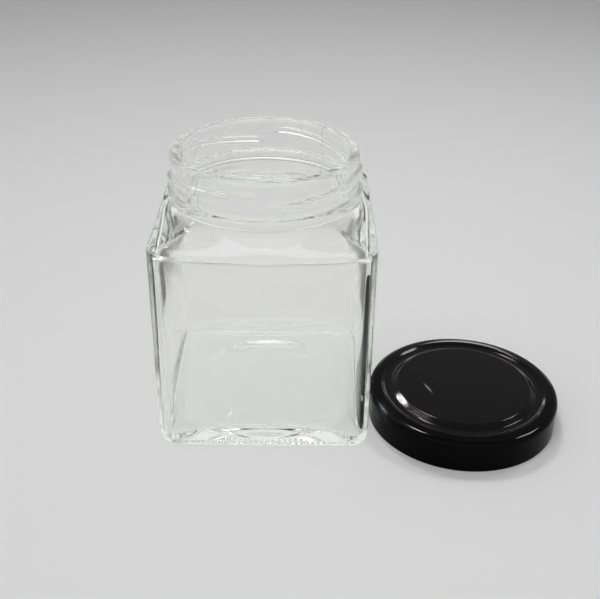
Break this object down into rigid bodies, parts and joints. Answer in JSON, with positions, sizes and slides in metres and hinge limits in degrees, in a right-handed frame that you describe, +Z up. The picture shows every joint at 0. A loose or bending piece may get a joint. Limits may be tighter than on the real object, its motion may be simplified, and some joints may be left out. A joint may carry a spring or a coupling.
{
  "type": "square glass jar with twist-off lid",
  "caption": "Square clear glass jar with a round threaded neck, and its black metal twist-off lid with a sealing gasket lying beside it, top up.",
  "frame": {"origin": "middle of the footprint of the jar and lid together, on the surface that both stand on", "axes": "+Z up; +X from the jar towards the lid, square to the jar's sides; -Y towards the front of the jar"},
  "size_m": [0.1358, 0.0808, 0.0925],
  "materials": {
    "clear_glass": "clear flint glass, fire-polished, with a faint green tint in the thick parts and a stippled bearing band",
    "black_lacquer": "glossy black lacquer on pressed tinplate, satin on the centre panel",
    "gasket_compound": "soft off-white sealing compound, matte"
  },
  "bodies": {
    "jar": {"glass_jar": "clear_glass"},
    "lid_seal": {"sealing_gasket": "gasket_compound"},
    "lid": {"lid_shell": "black_lacquer"}
  },
  "joints": [
    {"name": "lid_lift", "type": "slide", "parent": "jar", "child": "lid_seal", "axis": [0, 0, 1], "range_m": [0, 0.105]},
    {"name": "lid_turn", "type": "hinge", "parent": "lid_seal", "child": "lid", "pos_m": [0.03572, -0.0082, 0], "axis": [0, 0, 1], "continuous": true}
  ]
}
